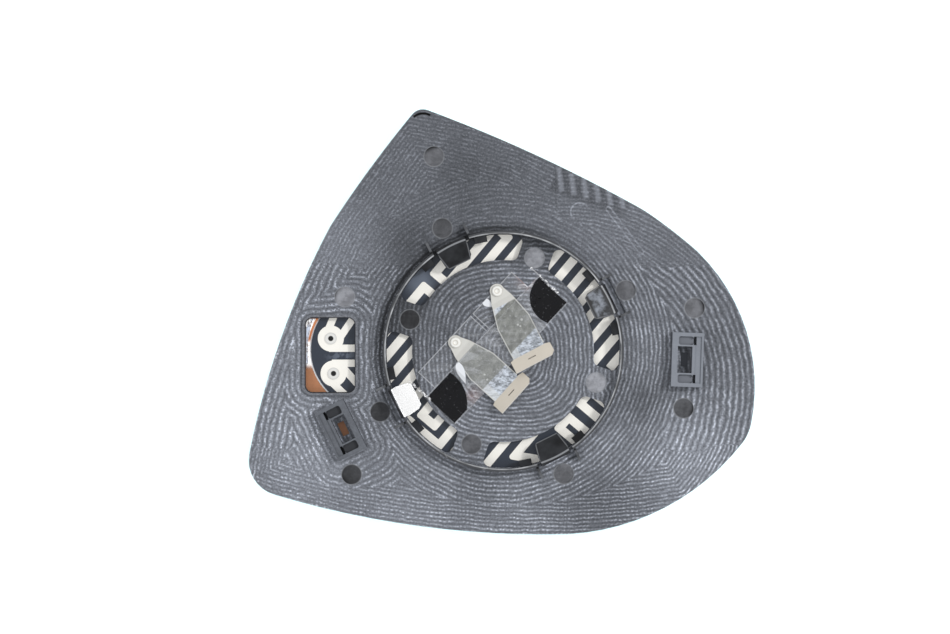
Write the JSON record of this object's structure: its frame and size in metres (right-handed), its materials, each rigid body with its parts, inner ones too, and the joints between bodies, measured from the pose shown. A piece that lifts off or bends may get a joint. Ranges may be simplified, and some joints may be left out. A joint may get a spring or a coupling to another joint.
{
  "type": "car door mirror glass",
  "caption": "Heated convex mirror glass with a moulded backing plate, round snap ring, spindle sockets and spade terminals, shown back side up.",
  "frame": {"origin": "centre of the snap ring, on the back surface of the plate inside the ring", "axes": "+Z out of the plate's back towards the mirror housing, +X towards the rounded end, +Y towards the pointed corner"},
  "size_m": [0.2025, 0.1705, 0.0116],
  "materials": {
    "glass": "polished clear float glass",
    "coating": "mirror coating under copper-coloured backing paint",
    "adhesive": "clear adhesive sheet",
    "film": "dark satin heater film",
    "track": "printed conductive track",
    "eyelet": "plated eyelet",
    "plate": "black moulded plastic with a milled mould texture",
    "terminal": "tinned strip",
    "rivet": "plated rivet",
    "tape": "clear glossy tape"
  },
  "bodies": {
    "root": {"mirror_glass": "glass", "mirror_coating": "coating", "adhesive_sheet": "adhesive", "heater_film": "film", "heater_track": "track", "eyelet_upper": "eyelet", "eyelet_lower": "eyelet", "backing_plate": "plate", "terminal_upper": "terminal", "terminal_lower": "terminal", "rivet_upper": "rivet", "rivet_lower": "rivet", "tape_over": "tape", "tape_under_left": "tape", "tape_under_right": "tape"}
  },
  "joints": []
}
